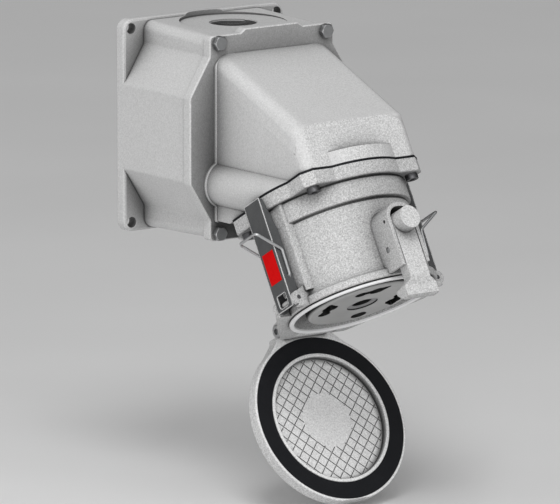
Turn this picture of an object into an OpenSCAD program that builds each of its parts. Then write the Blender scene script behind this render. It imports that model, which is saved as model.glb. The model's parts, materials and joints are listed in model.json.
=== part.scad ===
// Industrial wall socket: a cast back box, an angled cover and a tilted
// socket barrel with a hinged lid, a front latch and two closing levers.
// Millimetres. The origin is the centre of the wall face, the socket stands
// out along -Y, and +Z is up.

/* [Wall box] */
// Width of the back flange
box_w = 200; // [190:1:216]
// Height of the back flange
box_h = 216; // [208:1:232]
// Depth of the box from the wall to its front edge
box_depth = 113.5; // [98:0.5:130]
// Thickness of the back flange
ear_t = 12; // [9:0.5:15]
// Width of the recess beside each mounting hole
ear_w = 24.5; // [22:0.5:27]
// Height of the recess above and below the waist slopes
ear_h = 26; // [23:0.5:29]
// How far the flange stands past the top and bottom of the box
ear_lip = 2.4; // [1:0.1:4]
// Fall of the box's top and bottom from the wall to the front edge
roof_fall = 3.6; // [2:0.2:6]
// Radius of the long edges at the box's top and bottom
roof_r = 10; // [6:0.5:11]
// Half height of the full-width waist
waist_z = 43; // [36:1:50]
// Wall thickness of the castings
wall = 5; // [4:0.25:6]
// Distance of the mounting holes from the flange's sides
hole_in_x = 9; // [8:0.25:11]
// Distance of the mounting holes from the flange's top and bottom
hole_in_z = 9.5; // [8:0.25:11]
// Diameter of the mounting holes
hole_d = 11; // [9:0.5:12]
// Diameter of the cable entry
entry_d = 48.5; // [38:0.5:52]
// Distance of the cable entry from the wall
entry_out = 61; // [54:0.5:66]

/* [Angle cover] */
// Thickness of the cover plate
plate_t = 12; // [10:0.5:15]
// How far the cover's edge stands past the box
plate_lip = 1.5; // [1:0.25:3]
// Half width of the raised middle of the cover's top and bottom edges
crown_x = 34; // [26:1:42]
// How far those edges are raised
crown_h = 4; // [2:0.5:5]
// Thickness of the seals
seal_t = 2; // [1:0.1:2.4]
// How far the snout's sides lie inside the socket flange
snout_in = 3; // [2:0.5:5]
// Distance of the snout's top edge below the top of the box
snout_drop = 18; // [16:1:24]
// Fall of the snout's front slope
slope_deg = 23; // [20:0.5:26]
// Edge radius along the front slope
slope_r = 24; // [16:1:30]
// Edge radius along the snout's lower front
nose_r = 13; // [8:1:15]
// Bolt size of the cover and the flange
bolt_d = 8; // [6:0.5:8]

/* [Socket] */
// Tilt of the socket's axis from the vertical
tilt = 30; // [26:1:34]
// Distance of the socket flange's centre from the wall
flange_out = 212; // [208:1:220]
// Height of the socket flange's centre above the bottom of the box
flange_up = 56; // [52:1:60]
// Radius of the bore that takes the plug
bore_r = 70.5; // [69:0.25:71]
// Wall thickness of the barrel
barrel_wall = 4; // [3.5:0.25:5]
// How far the square flange's sides lie inside the barrel's radius
flange_in = 1.5; // [0:0.25:2.5]
// How far the round flange stands past the barrel
flange_step = 8.5; // [7.5:0.5:10.5]
// Thickness of the socket flange
flange_t = 14; // [12:0.5:17]
// Length from the flange plane to the lip
barrel_len = 124.4; // [120:0.5:132]
// How far the band under the flange stands past the barrel
band_step = 3.5; // [2.5:0.5:4.5]
// Length of the band
band_len = 21.5; // [16:0.5:26]
// How far the rim stands past the barrel
rim_step = 4.5; // [3.5:0.5:5.5]
// How far the machined lip stands past the barrel
lip_step = 0.8; // [0:0.1:1.5]

/* [Lid] */
// How far the lid's edge stands past the rim
lid_over = 9.5; // [8:0.5:11]
// Thickness of the lid
lid_t = 14; // [12:0.5:15]
// Width of the lid's edge outside its seal
lid_edge = 2.9; // [2.5:0.1:4]
// Width of the lid's seal
lid_seal_w = 17.2; // [15:0.2:19]
// Pitch of the crossed grooves in the lid
groove_pitch = 9.6; // [8:0.2:12]
// Radius of the plain disc in the lid's middle
plain_r = 28.5; // [24:0.5:32]
// Distance of the hinge past the lid's edge
hinge_gap = 3.9; // [3:0.1:6]
// Opening angle of the lid as it rests
lid_open = 90; // [60:1:90]

/* [Latch] */
// Width of the pawl's bar
pawl_w = 23.6; // [22:0.2:26]
// Distance of the pawl's front face from the barrel
pawl_out = 28; // [27:0.25:30]
// Thickness of the pawl's bar
pawl_t = 12.5; // [10.5:0.25:12.7]
// Diameter of the thumb boss
boss_d = 23.2; // [20:0.2:25]
// Width of the hooked foot
foot_w = 38.6; // [34:0.2:42]
// Wall thickness of the hood over the pawl
hood_t = 3.8; // [3:0.2:5]

/* [Levers] */
// Sheet thickness of the levers
sheet = 2; // [1.5:0.1:2.4]
// Width of a lever
lever_w = 27; // [25:0.5:28]
// Distance of a lever's outer face from the barrel
lever_out = 18.2; // [17.5:0.1:19.5]
// Wire diameter of the bails
wire_d = 3; // [2.4:0.1:3.4]
// Angle by which the right-hand bail rests further out than the left one
bail_swing = 5; // [0:1:10]
// Height of the red label
label_h = 32; // [24:1:36]

/* [Contacts] */
// Width of the channel for the plug's shroud
channel_w = 14; // [13:0.25:15.5]
// Distance of the outer contacts from the block's edge
contact_in = 16.5; // [15.5:0.25:17.5]
// Diameter of a contact
contact_d = 11; // [9:0.25:12]

/* [Hidden] */
$fn = 64;

// Clearances
fit = 0.05;
slack = 0.3;
cut = 1;
thin = 0.01;
far = 400;

// Colours
casting = [0.76, 0.76, 0.75];
steel = [0.62, 0.63, 0.64];
dark_sheet = [0.29, 0.30, 0.31];
black_rubber = [0.10, 0.10, 0.11];
moulding = [0.50, 0.50, 0.49];
black_moulding = [0.12, 0.12, 0.13];
brass = [0.78, 0.64, 0.32];
red_film = [0.78, 0.07, 0.07];

// Box outline
half_w = box_w / 2;
half_h = box_h / 2;
neck_x = half_w - ear_w;
neck_z = half_h - ear_h;
roof_z = half_h - ear_lip;
body_z = roof_z - roof_fall;
roof_deg = atan(roof_fall / box_depth);
box_edge_r = 6;
ear_corner_r = 11;
ear_edge = 2.5;
bolt_in_x = 9;
bolt_in_z = 6;
bolt_x = neck_x - bolt_in_x;
bolt_z = body_z - bolt_in_z;
bolt_wall = 4;
bolt_boss_r = bolt_d / 2 + bolt_wall;
bolt_depth = 22;
entry_wall = 8;
entry_boss_r = entry_d / 2 + entry_wall;
entry_len = 16;
spot_r = 54.4;
spot_up = 0.6;
spot_z = body_z + spot_up;
floor_extra = 1;
box_floor = wall + floor_extra;
stud_at = [-half_w / 2, -half_h / 2, 0];
stud_len = 28;
stud_nut_h = 6;

// Cover
plate_back = box_depth;
seal_in = 1.2;
seal_w = 2.6;
plate_front = plate_back + plate_t;
edge_r = 1.8;
plate_corner_r = 3;
crown_corner_r = 2;
crown_slope = 6;
snout_top = body_z - snout_drop;
flange_z = flange_up - body_z;
collar_h = 14;
snout_floor = 12;
head_af = 13 / 8 * bolt_d;
head_h = 5.5;
head_land = 0.475;
seat_land = 0.8;
socket_af = 6;
socket_depth = 3;

// Radii of the socket, from the plug's bore outwards
barrel_r = bore_r + barrel_wall;
flange_x = barrel_r - flange_in;
flange_r = barrel_r + flange_step;
band_r = barrel_r + band_step;
rim_r = barrel_r + rim_step;
lip_r = barrel_r + lip_step;
snout_x = flange_x - snout_in;
pod_r = 23;
pod_x = flange_r - pod_r;
block_r = bore_r - channel_w;
contact_ring = block_r - contact_in;
block_neck = 5.5;
neck_r = block_r - block_neck;
wire_hole_extra = 1.5;
wire_hole_r = block_r + wire_hole_extra;

// Socket axis, measured down from the flange plane
k_flange = seal_t;
k_band = k_flange + flange_t;
k_barrel = k_band + band_len;
k_lip = barrel_len;
rim_up = 11;
lip_h = 3.6;
lip_edge = 2.4;
k_rim0 = k_lip - rim_up;
k_rim1 = k_lip - lip_h;
k_groove = k_lip - lip_edge;
groove_d = 1.4;
line_d = 1;
line_h = 1.4;
k_shoulder = 32;
shoulder_t = 9;
screw_in = 12;
screw_x = flange_x - screw_in;
screw_depth = 9;
screw_seat = 1.5;
flange_chamfer = 10;
root = 16;
pad_step = 2.5;
pad_x = barrel_r + pad_step;
pad_half = 23;
pad_spread = 6;
pad_up = 17.4;
pad_end = k_lip - pad_up;

// Contact block and disc
block_up = 7.4;
k_block = k_lip - block_up;
disc_t = 6;
k_disc = k_block + slack;
disc_edge = 4;
k_seat = k_shoulder + shoulder_t;
block_lip = 1.7;
block_lip_t = 3;
ring_gap = 3.5;
ring_r = bore_r - ring_gap;
ring_t = 8;
k_ring = k_seat + ring_t;
block_screw_d = 5;
block_screw_in = 4;
block_screw_r = ring_r - block_screw_in;
block_screw_head = 4;
block_screw_head_r = 4;
k_block_top = 14;
tip_up = 10;
k_tip = k_block - tip_up;
contact_wall = 1.6;
contact_bore_r = contact_d / 2 + contact_wall;
k_terminal = -24;
terminal_r = 8;
terminal_step = 2;
wire_bore_r = 4.6;
k_wire_bore = -4;
clamp_r = 2.5;
clamp_out = 3;
clamp_down = 9;
k_clamp = k_terminal + clamp_down;
disc_hole_r = 13;
retainer_r = 15.6;
retainer_flange = 2.6;
retainer_sunk = 1.2;
centre_hole_r = 9.8;
open_r = 8.2;
lobe_r = 6.4;
lobe_turn = 24;
spike_turn = -13;
spike_out = 8;
spike_r = 2.2;
lobed_at = [180, 101, -4];
dimple_at = -62;
dimple_depth = 3.5;
disc_turn = 30;
spring_ring_r = 26;
spring_wire_r = 1.1;

// Lid, described closed and then swung open
k_lid = k_lip + slack;
lid_r = rim_r + lid_over;
lid_seal_r1 = lid_r - lid_edge;
lid_seal_r0 = lid_seal_r1 - lid_seal_w;
hinge_p = lid_r + hinge_gap;
hinge_up = 12.65;
k_hinge = k_lip - hinge_up;
hinge_r = 4;
knuckle_r = 8;
ear_r = 8.5;
ear_in = 26;
ear_out = 40;
hinge_spot = 0.9;
hinge_spot_r = head_af / sqrt(3) + hinge_spot;
hinge_head_r = 6.5;
hinge_head = 5;
hinge_nut_h = 6;
ear_root = 4;
ear_rise = 6;
knuckle_room = 4;
neck_half = 33;
neck_waist = 2;
neck_flare = 17;
neck_in = 0.4;
neck_len = 6;
neck_reach = 18.5;
neck_tip = hinge_p - neck_in;
neck_bend = neck_tip - neck_len;
neck_root = lid_r - neck_reach;
neck_bend_r = 10;
neck_corner_r = 4;
web_gap = 1;
web_f = lid_seal_r1 + web_gap;
knuckle_fall = 10;
seal_depth = 5;
inner_ring = 3.6;
inner_ring_h = 1;
lid_recess = 7;
lid_edge_r = 3;
lid_flat_in = 2.1;
lid_flat = lid_r - lid_flat_in;
groove_w = 0.9;
groove_depth = 0.7;

// Latch
pawl_front = barrel_r + pawl_out;
pawl_back = pawl_front - pawl_t;
pawl_pin_up = 26.4;
pawl_pin_in = 15.5;
k_pawl_pin = k_lip - pawl_pin_up;
pawl_pin_f = pawl_front - pawl_pin_in;
pawl_pin_r = 3;
pawl_pin_sunk = 0.8;
pawl_knuckle_r = 6.2;
boss_up = 49;
boss_h = 13.5;
k_boss = k_lip - boss_up;
boss_front = pawl_front + boss_h;
foot_gap = 0.7;
k_foot = k_lid + lid_t + foot_gap;
foot_h = 12;
foot_shoulder = 6;
nose_in = 20.5;
nose_f = pawl_front - nose_in;
nose_fall = 7;
nose_step = 1.2;
foot_in = 4;
foot_front = pawl_front - foot_in;
hood_gap = 1.2;
hood_in = pawl_w / 2 + hood_gap;
hood_out = hood_in + hood_t;
hood_front = pawl_front;
hood_rise = 8.5;
hood_stop = 1.8;
k_hood = k_boss - boss_d / 2 - hood_rise;
k_hood_end = k_rim1 - hood_stop;
lock_in = 7;
lock_up = 4.1;
lock_hole = [pawl_front - lock_in, k_boss - lock_up];
lock_hole_r = 1.7;
lock_depth = 1.2;
hood_corner = 14.8;
coil_r = 5;
coil_wire = 0.9;

// Levers
lever_x = barrel_r + lever_out;
k_lever = 4;
lever_pin_up = 12.4;
lever_pin_in = 6.2;
k_lever_pin = k_lip - lever_pin_up;
lever_pin_x = lever_x - lever_pin_in;
lever_pin_r = 2.2;
lever_ear_r = 7;
fork_t = 5;
fork_in = lever_w / 2 + slack;
fork_root = 6;
fork_rise = 9;
lug_half = 7;
lug_up = 10;
k_lug = k_lever_pin - lug_up;
lug_step = 3;
lug_slope = 4;
lever_depth = 11.5;
lever_tip = 4.6;
lever_tip_h = 2;
lever_taper = 38;
lever_waist = 10;
lever_end = 6;
k_lever_end = k_lever_pin + lever_end;
window_half = 7.5;
window_h = 13;
window_end = 3;
label_t = 0.3;
label_w = 19;
label_up = 66.9;
k_label = k_lip - label_up;
wire_r = wire_d / 2;
bail_side = 0.15;
bail_f = lever_w / 2 + wire_r + bail_side;
bail_pivot_in = 6.7;
bail_pivot_up = 37;
bail_knee_in = 7.2;
bail_knee_up = 64.4;
bail_top_out = 18;
bail_top_up = 83.8;
bail_pivot = [lever_x - bail_pivot_in, k_lip - bail_pivot_up];
bail_knee = [lever_x - bail_knee_in, k_lip - bail_knee_up];
bail_top = [lever_x + bail_top_out, k_lip - bail_top_up];
bail_bend = 4;
bail_end = 1;

// Helpers
function unit(v) = v / norm(v);
function turn(a) = a > 180 ? a - 360 : a < -180 ? a + 360 : a;
function flat(p) = [p[0], p[1]];
function bearing(v) = atan2(v[1], v[0]);
function corner_arc(p, c, q, r, n) =
    let (u = unit(p - c), w = unit(q - c), half = acos(u * w) / 2)
    let (o = c + unit(u + w) * r / sin(half))
    let (a0 = bearing(c + u * r / tan(half) - o))
    let (a1 = bearing(c + w * r / tan(half) - o))
    let (sweep = turn(a1 - a0))
    [for (i = [0 : n]) o + r * [cos(a0 + sweep * i / n), sin(a0 + sweep * i / n)]];
// Points are [x, y, corner radius]
function rounded(pts, n = 6) =
    let (m = len(pts))
    [for (i = [0 : m - 1])
        each pts[i][2] > 0
            ? corner_arc(flat(pts[(i + m - 1) % m]), flat(pts[i]), flat(pts[(i + 1) % m]), pts[i][2], n)
            : [flat(pts[i])]];

// Away from the wall: x stays, y is up, z is the distance out
module from_wall(out = 0) {
    translate([0, -out, 0]) rotate([90, 0, 0]) children();
}

// Socket frame: x stays, y is towards the front, z runs down the socket's axis
module in_socket() {
    translate([0, -flange_out, flange_z]) rotate([180 - tilt, 0, 0]) children();
}

// Outline in x and z of the socket frame, drawn out along its y
module front_prism(f0, f1) {
    translate([0, f0, 0]) rotate([-90, 0, 0]) linear_extrude(f1 - f0) mirror([0, 1]) children();
}

// Outline in y and z, drawn out along x
module side_prism(x0, x1) {
    translate([x0, 0, 0]) rotate([90, 0, 90]) linear_extrude(x1 - x0) children();
}

// Round bar along x in the socket frame
module cross_bar(x0, x1, f, k, r) {
    translate([x0, f, k]) rotate([0, 90, 0]) cylinder(r = r, h = x1 - x0);
}

// Round bar along the front direction
module front_bar(f0, f1, x, k, r) {
    translate([x, f0, k]) rotate([-90, 0, 0]) cylinder(r = r, h = f1 - f0);
}

module down_bar(k0, k1, x, f, r) {
    translate([x, f, k0]) cylinder(r = r, h = k1 - k0);
}

module hexagon(af, h) {
    cylinder(d = af / cos(30), h = h, $fn = 6);
}

// Bolt head or nut whose corners are turned off at the free end
module hex_head(h) {
    land = head_af * head_land;
    intersection() {
        hexagon(head_af, h);
        cylinder(h = h, r1 = land + h / tan(30), r2 = land);
    }
}

module at_corners(x, y) {
    for (sx = [-1, 1], sy = [-1, 1])
        translate([sx * x, sy * y, 0]) children();
}

module both_sides() {
    children();
    mirror([1, 0, 0]) children();
}

// Front view of the box, grown by g, up to a half height
module box_outline(g = 0, top = body_z) {
    w = half_w + g;
    n = neck_x + g;
    b = top + g;
    s = waist_z + g / 3;
    q = neck_z + g / 3;
    r = max(box_edge_r + g, 1);
    e = max(roof_r + g, 1);
    polygon(rounded([
        [w, -s, r], [w, s, r], [n, q, r], [n, b, e],
        [-n, b, e], [-n, q, r], [-w, s, r], [-w, -s, r],
        [-n, -q, r], [-n, -b, e], [n, -b, e], [n, -q, r]]));
}

// Space under the falling roof of the box, shrunk by drop, its long edges rounded
module under_roof(drop) {
    n = neck_x - drop + fit;
    r = max(roof_r - drop, 1);
    eaves = drop + r + 1;
    translate([0, 0, roof_z]) rotate([90 + roof_deg, 0, 0]) translate([0, 0, -far / 2]) linear_extrude(far)
        polygon(rounded([
            [-far, -far, 0], [far, -far, 0], [far, -eaves, 0], [n, -eaves, 0], [n, -drop, r],
            [-n, -drop, r], [-n, -eaves, 0], [-far, -eaves, 0]]));
}

// The box as a full block, shrunk by drop, from a distance off the wall
module box_body(drop, out) {
    intersection() {
        from_wall(out) linear_extrude(box_depth) box_outline(-drop, half_h);
        under_roof(drop);
        mirror([0, 0, 1]) under_roof(drop);
    }
}

module flange_plate(inset, h) {
    linear_extrude(h) polygon(rounded([for (c = [[1, -1], [1, 1], [-1, 1], [-1, -1]])
        [c[0] * (half_w - inset), c[1] * (half_h - inset), ear_corner_r - inset]]));
}

module wall_box() {
    color(casting)
    difference() {
        union() {
            difference() {
                union() {
                    hull() {
                        from_wall() flange_plate(0, ear_t - ear_edge);
                        from_wall(ear_t - ear_edge) flange_plate(ear_edge * 0.3, ear_edge * 0.7);
                        from_wall(ear_t - thin) flange_plate(ear_edge, thin);
                    }
                    box_body(0, 0);
                }
                box_body(wall, box_floor);
            }
            intersection() {
                box_body(0, 0);
                union() {
                    from_wall(box_depth - bolt_depth) at_corners(bolt_x, bolt_z)
                        cylinder(r = bolt_boss_r, h = bolt_depth);
                    translate([0, -entry_out, body_z - entry_len]) cylinder(r = entry_boss_r, h = far);
                }
            }
        }
        from_wall(-cut) at_corners(half_w - hole_in_x, half_h - hole_in_z)
            cylinder(d = hole_d, h = ear_t + 2 * cut);
        translate([0, -entry_out, body_z - entry_len - cut]) cylinder(d = entry_d, h = far);
        translate([0, -entry_out, spot_z]) cylinder(r = spot_r, h = far);
        from_wall(box_depth - bolt_depth + wall) at_corners(bolt_x, bolt_z)
            cylinder(r = bolt_d / 2 + fit, h = far);
        from_wall(wall) translate(stud_at) cylinder(r = bolt_d / 2 + fit, h = far);
    }
}

module earth_stud() {
    color(brass) from_wall(wall) translate(stud_at) {
        cylinder(d = bolt_d, h = stud_len);
        translate([0, 0, floor_extra]) hex_head(stud_nut_h);
    }
}

// Front view of the seal between the box and its cover, inside the bolts at the corners
module seal_outline() {
    difference() {
        box_outline(-seal_in);
        box_outline(-seal_in - seal_w);
        at_corners(bolt_x, bolt_z) circle(r = bolt_boss_r - seal_in);
    }
    intersection() {
        box_outline(-seal_in);
        at_corners(bolt_x, bolt_z) difference() {
            circle(r = bolt_boss_r - seal_in);
            circle(r = bolt_d / 2 + seal_in);
        }
    }
}

module box_gasket() {
    color(black_rubber) from_wall(box_depth) linear_extrude(seal_t) seal_outline();
}

// Front view of the cover plate, shrunk by s
module plate_outline(s = 0) {
    g = plate_lip - s;
    w = half_w + g;
    n = neck_x + g;
    b = body_z + g;
    c = crown_x - s;
    e = crown_x + crown_slope - s;
    t = b + crown_h;
    r = max(box_edge_r + g, 1);
    p = plate_corner_r;
    q = crown_corner_r;
    polygon(rounded([
        [w, -waist_z, r], [w, waist_z, r], [n, neck_z, r], [n, b, p],
        [e, b, q], [c, t, q], [-c, t, q], [-e, b, q],
        [-n, b, p], [-n, neck_z, r], [-w, waist_z, r], [-w, -waist_z, r],
        [-n, -neck_z, r], [-n, -b, p],
        [-e, -b, q], [-c, -t, q], [c, -t, q], [e, -b, q],
        [n, -b, p], [n, -neck_z, r]], 4));
}

// Space behind the snout's front slope, its long edges rounded
module under_slope(x, drop, r) {
    translate([0, -plate_front, snout_top]) rotate([90 + slope_deg, 0, 0])
        translate([0, 0, -far / 2]) linear_extrude(far)
            polygon(rounded([[-x, -far, 0], [x, -far, 0], [x, -drop, r], [-x, -drop, r]]));
}

// Space behind the snout's lower front, down to a level above the flange plane
module behind_nose(x, front, r, k) {
    in_socket() translate([0, 0, k - far]) linear_extrude(far)
        polygon(rounded([[-x, -far, 0], [x, -far, 0], [x, front, r], [-x, front, r]]));
}

// Everything in front of a plane parallel to the wall and above a level
module out_and_up(x, out, z) {
    translate([-x, -out - far, z]) cube([2 * x, far, far]);
}

module snout(x, inset, r_slope, r_nose, out, k) {
    heel_z = flange_z - flange_x * sin(tilt);
    intersection() {
        out_and_up(x, out, heel_z + inset);
        under_slope(x, inset, r_slope);
        behind_nose(x, flange_x - inset, r_nose, k);
    }
}

module angle_cover() {
    color(casting)
    difference() {
        union() {
            from_wall(plate_back + edge_r) minkowski() {
                linear_extrude(plate_t - 2 * edge_r) plate_outline(edge_r);
                sphere(r = edge_r, $fn = 12);
            }
            snout(snout_x, 0, slope_r, nose_r, plate_back + cut, 0);
            intersection() {
                from_wall(plate_back + cut) both_sides()
                    translate([pod_x, flange_z, 0]) cylinder(r = pod_r, h = far);
                behind_nose(far, flange_r, 0, 0);
            }
            intersection() {
                in_socket() down_bar(-collar_h, 0, 0, 0, flange_r);
                in_socket() translate([-snout_x, snout_x - slope_r, -far]) cube([2 * snout_x, far, 2 * far]);
            }
            from_wall(plate_back) at_corners(bolt_x, bolt_z)
                cylinder(r = head_af / 2 + seat_land, h = plate_t);
        }
        snout(snout_x - wall, wall, slope_r - wall, nose_r - wall, plate_back - cut, -snout_floor);
        in_socket() down_bar(-2 * snout_floor, cut, 0, 0, wire_hole_r);
        in_socket() translate([0, 0, -screw_depth]) at_corners(screw_x, screw_x)
            cylinder(r = bolt_d / 2 + fit, h = far);
        from_wall(plate_back - cut) at_corners(bolt_x, bolt_z)
            cylinder(r = bolt_d / 2 + fit, h = plate_t + 2 * cut);
        translate([-half_w - far / 2, -plate_back, -far]) cube([2 * half_w + far, far, 2 * far]);
        from_wall(plate_back - cut) linear_extrude(seal_t + cut) seal_outline();
    }
}

module cover_bolts() {
    shank = plate_t + bolt_depth / 2;
    color(steel)
    from_wall(plate_front) at_corners(bolt_x, bolt_z) {
        hex_head(head_h);
        translate([0, 0, -shank]) cylinder(d = bolt_d, h = shank);
    }
}

// Square with cut corners, as the socket flange is seen along the axis
module flange_square() {
    x = flange_x;
    c = flange_x - flange_chamfer;
    polygon([[x, -c], [x, c], [c, x], [-c, x], [-x, c], [-x, -c], [-c, -x], [c, -x]]);
}

// The same square as a plate with its lower edges rounded
module flange_plate_square() {
    section = rounded([
        [-flange_x, k_flange, 0], [flange_x, k_flange, 0],
        [flange_x, k_band, edge_r], [-flange_x, k_band, edge_r]], 4);
    reach = 2 * flange_x - flange_chamfer;
    intersection() {
        front_prism(-far / 2, far / 2) polygon(section);
        side_prism(-far / 2, far / 2) polygon(section);
        translate([0, 0, k_flange - cut]) linear_extrude(far)
            polygon([[reach, 0], [0, reach], [-reach, 0], [0, -reach]]);
    }
}

module flange_gasket() {
    color(black_rubber)
    in_socket() linear_extrude(seal_t) difference() {
        union() {
            flange_square();
            circle(r = flange_r);
        }
        circle(r = wire_hole_r);
        at_corners(screw_x, screw_x) circle(r = bolt_d / 2 + fit);
    }
}

// Section of the barrel: outside from the band to the lip, then the bore
module barrel_section() {
    polygon(rounded([
        [wire_hole_r, k_flange, 0], [flange_r, k_flange, 0], [flange_r, k_band, edge_r],
        [band_r - line_d, k_band, 0], [band_r - line_d, k_band + line_h, 0],
        [band_r, k_band + line_h, 0.6], [band_r, k_barrel, 1.5],
        [barrel_r - line_d, k_barrel + line_d, 0], [barrel_r - line_d, k_barrel + line_d + line_h, 0],
        [barrel_r, k_barrel + line_d + line_h, 0.6], [barrel_r, k_rim0 - 2, 3], [rim_r, k_rim0, 2],
        [rim_r, k_rim1, 1.2], [lip_r - groove_d, k_rim1, 0], [lip_r - groove_d, k_groove, 0],
        [lip_r, k_groove, 0], [lip_r, k_lip, 1], [bore_r, k_lip, 1.2],
        [bore_r, k_seat, 2], [neck_r + slack, k_seat, 0],
        [neck_r + slack, k_shoulder, 0], [wire_hole_r, k_shoulder, 0]], 4));
}

// Back of the rim: a web from the lever ears to the hinge ears
module rim_web() {
    e = lever_pin_x + lever_ear_r - 2;
    polygon(rounded([
        [-e, -fork_in, 1], [-e, -fork_in - fork_t, 3], [-ear_out, -hinge_p, 3], [ear_out, -hinge_p, 3],
        [e, -fork_in - fork_t, 3], [e, -fork_in, 1]], 4));
}

// Side view of a hinge ear and its root on the barrel
module hinge_ear_side() {
    translate([-hinge_p, k_hinge]) circle(r = ear_r);
    polygon([
        [-hinge_p, k_hinge - ear_r], [-barrel_r + ear_root, k_hinge - ear_r - ear_rise],
        [-barrel_r + ear_root, k_rim1], [-hinge_p, k_hinge + ear_r]]);
}

// Front view of the fork ears that carry a lever's pin
module fork_ear_side() {
    k0 = k_lever_pin - lever_ear_r;
    translate([lever_pin_x, k_lever_pin]) circle(r = lever_ear_r);
    polygon([
        [lever_pin_x - 1, k0], [barrel_r - fork_root, k0 - fork_rise],
        [barrel_r - fork_root, k_rim1], [lever_pin_x + 3, k_rim1]]);
}

// Raised flat on the barrel's side, under a lever
module side_pad() {
    r = barrel_r - root;
    polygon([
        [r, -pad_half - pad_spread], [pad_x - 1, -pad_half], [pad_x, -pad_half + 2],
        [pad_x, pad_half - 2], [pad_x - 1, pad_half], [r, pad_half + pad_spread]]);
}

// Front view of the lug that a closed lever rests on
module lug_side() {
    r = barrel_r - fork_root;
    x = pad_x + lug_slope;
    polygon([
        [r, k_lug - 2 * lug_slope], [x, k_lug - lug_slope], [x + lug_step, k_lug],
        [x + lug_step, k_lug + lug_step], [r, k_lug + lug_step]]);
}

module hood_outline(x, k0, k1, r) {
    polygon(rounded([[-x, k1, 0.6], [-x, k0, r], [x, k0, r], [x, k1, 0.6]]));
}

module socket_shell() {
    color(casting)
    in_socket() difference() {
        union() {
            flange_plate_square();
            rotate_extrude($fn = 128) barrel_section();
            translate([0, 0, k_rim0]) linear_extrude(k_rim1 - k_rim0) rim_web();
            both_sides() {
                translate([0, 0, k_band - edge_r]) linear_extrude(pad_end - k_band + edge_r) side_pad();
                for (f = [-fork_in - fork_t, fork_in])
                    front_prism(f, f + fork_t) fork_ear_side();
                front_prism(-lug_half, lug_half) lug_side();
                side_prism(ear_in, ear_out) hinge_ear_side();
            }
            front_prism(barrel_r - root, hood_front) difference() {
                hood_outline(hood_out, k_hood, k_hood_end, hood_corner);
                hood_outline(hood_in, k_hood + hood_t, k_hood_end + far, hood_corner - hood_t);
            }
        }
        down_bar(k_seat, far, 0, 0, bore_r);
        down_bar(-cut, k_shoulder, 0, 0, wire_hole_r);
        down_bar(-cut, far, 0, 0, neck_r + slack);
        at_corners(screw_x, screw_x) cylinder(r = bolt_d / 2 + fit, h = far / 4);
        translate([0, 0, k_band]) at_corners(screw_x, screw_x)
            cylinder(r = head_af / 2 + screw_seat, h = head_h + 2 * screw_seat);
        both_sides() front_bar(-far / 4, far / 4, lever_pin_x, k_lever_pin, lever_pin_r + fit);
        cross_bar(-far, far, -hinge_p, k_hinge, hinge_r + fit);
        both_sides() cross_bar(ear_out, far, -hinge_p, k_hinge, hinge_spot_r);
        cross_bar(-far, hinge_head - ear_out, -hinge_p, k_hinge, hinge_head_r + slack);
        cross_bar(-far, far, pawl_pin_f, k_pawl_pin, pawl_pin_r + fit);
        both_sides() cross_bar(hood_out - lock_depth, far, lock_hole[0], lock_hole[1], lock_hole_r);
        translate([-ear_in, -hinge_p - far, k_hinge - knuckle_r - knuckle_room])
            cube([2 * ear_in, far + hinge_p - barrel_r - knuckle_room, far]);
        at_block_screws() down_bar(k_shoulder - cut, far, 0, 0, block_screw_d / 2 + fit);
    }
}

module flange_screws() {
    color(steel)
    in_socket() at_corners(screw_x, screw_x) difference() {
        union() {
            down_bar(1 - screw_depth, k_band, 0, 0, bolt_d / 2);
            down_bar(k_band, k_band + head_h, 0, 0, head_af / 2);
        }
        translate([0, 0, k_band + head_h - socket_depth]) hexagon(socket_af, far);
    }
}

// The outer contacts, which the disc covers until it has turned
module at_contacts() {
    for (a = lobed_at)
        rotate(a - disc_turn) translate([contact_ring, 0, 0]) children();
}

module at_block_screws() {
    for (a = [45 : 90 : 315])
        rotate(a) translate([block_screw_r, 0, 0]) children();
}

// Stepped bore for a contact's shank and for the plug's contact in front of it
module contact_bore() {
    down_bar(-cut, far, 0, 0, contact_d / 2 + fit);
    down_bar(k_tip, far, 0, 0, contact_bore_r);
}

module contact_block() {
    color(black_moulding)
    in_socket() difference() {
        union() {
            down_bar(k_seat, k_block, 0, 0, block_r);
            down_bar(k_seat, k_seat + block_lip_t, 0, 0, block_r + block_lip);
            down_bar(k_block_top, k_seat, 0, 0, neck_r);
        }
        at_contacts() contact_bore();
        contact_bore();
        translate([0, 0, k_block - 2 * spring_wire_r - 1]) difference() {
            cylinder(r = spring_ring_r + spring_wire_r + slack, h = far);
            translate([0, 0, -cut]) cylinder(r = spring_ring_r - spring_wire_r - slack, h = far + 2 * cut);
        }
    }
}

// Ring that clamps the contact block by its lip
module block_ring() {
    lip = block_r + block_lip + slack;
    k_lip_end = k_seat + block_lip_t;
    color(black_moulding)
    in_socket() difference() {
        rotate_extrude()
            polygon([
                [lip, k_seat], [ring_r, k_seat], [ring_r, k_ring],
                [block_r + slack, k_ring], [block_r + slack, k_lip_end], [lip, k_lip_end]]);
        at_block_screws() down_bar(-cut, far, 0, 0, block_screw_d / 2 + fit);
    }
}

module block_screws() {
    color(steel)
    in_socket() at_block_screws() {
        down_bar(k_shoulder + cut, k_ring, 0, 0, block_screw_d / 2);
        down_bar(k_ring, k_ring + block_screw_head, 0, 0, block_screw_head_r);
    }
}

// Turned contact: a tip, a shank, a shoulder and a drilled terminal
module contact() {
    difference() {
        union() {
            down_bar(k_block_top - terminal_step, k_tip, 0, 0, contact_d / 2);
            down_bar(k_terminal, k_block_top, 0, 0, terminal_r);
        }
        down_bar(k_terminal - cut, k_wire_bore, 0, 0, wire_bore_r);
        front_bar(0, far, 0, k_clamp, clamp_r + fit);
    }
}

module main_contacts() {
    color(brass) in_socket() at_contacts() contact();
}

module earth_contact() {
    color(brass) in_socket() contact();
}

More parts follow.
